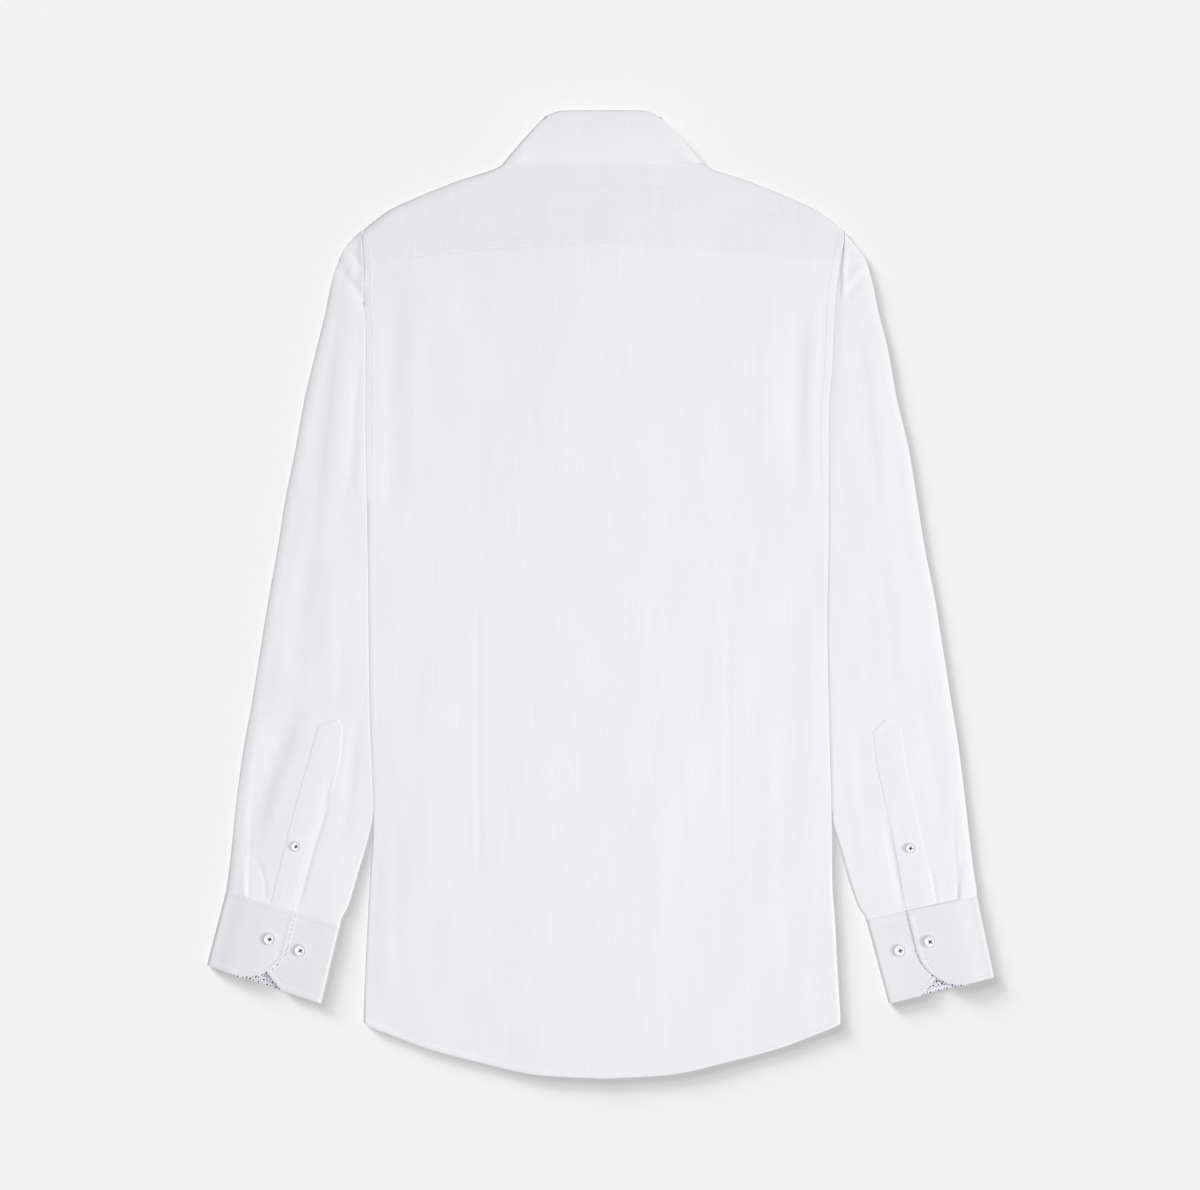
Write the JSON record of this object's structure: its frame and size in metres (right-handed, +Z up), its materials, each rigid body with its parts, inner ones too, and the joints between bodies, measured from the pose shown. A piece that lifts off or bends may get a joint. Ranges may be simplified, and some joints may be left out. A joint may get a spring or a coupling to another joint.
{
  "type": "long sleeve dress shirt",
  "caption": "Long sleeve dress shirt laid flat with its back up, with a folded collar, yoke, darts, plackets and buttoned cuffs with a printed inside.",
  "frame": {"origin": "on the surface the shirt lies on, under the middle of its outline", "axes": "+Z up from the surface, +Y from the hem to the collar, +X to the wearer's right"},
  "size_m": [0.6922, 0.8508, 0.0105],
  "materials": {
    "shirt_cloth": "fine white cotton shirting with a faint lengthwise thread, matt",
    "printed_cloth": "white cotton with a small dark leaf and flower print, matt",
    "shell_button": "pearly white shell, polished, sewn with dark thread"
  },
  "bodies": {
    "root": {"back_panel": "shirt_cloth", "yoke": "shirt_cloth", "front_left": "shirt_cloth", "front_right": "shirt_cloth", "collar_band": "shirt_cloth", "collar_fall": "shirt_cloth", "sleeve_left": "shirt_cloth", "sleeve_right": "shirt_cloth", "sleeve_placket_left": "shirt_cloth", "sleeve_placket_right": "shirt_cloth", "cuff_left": "shirt_cloth", "cuff_right": "shirt_cloth", "cuff_facing_left": "printed_cloth", "cuff_facing_right": "printed_cloth", "button_collar": "shell_button", "button_front_1": "shell_button", "button_front_2": "shell_button", "button_front_3": "shell_button", "button_front_4": "shell_button", "button_front_5": "shell_button", "button_front_6": "shell_button", "button_front_7": "shell_button", "button_placket_left": "shell_button", "button_placket_right": "shell_button", "button_cuff_left_1": "shell_button", "button_cuff_left_2": "shell_button", "button_cuff_right_1": "shell_button", "button_cuff_right_2": "shell_button"}
  },
  "joints": []
}
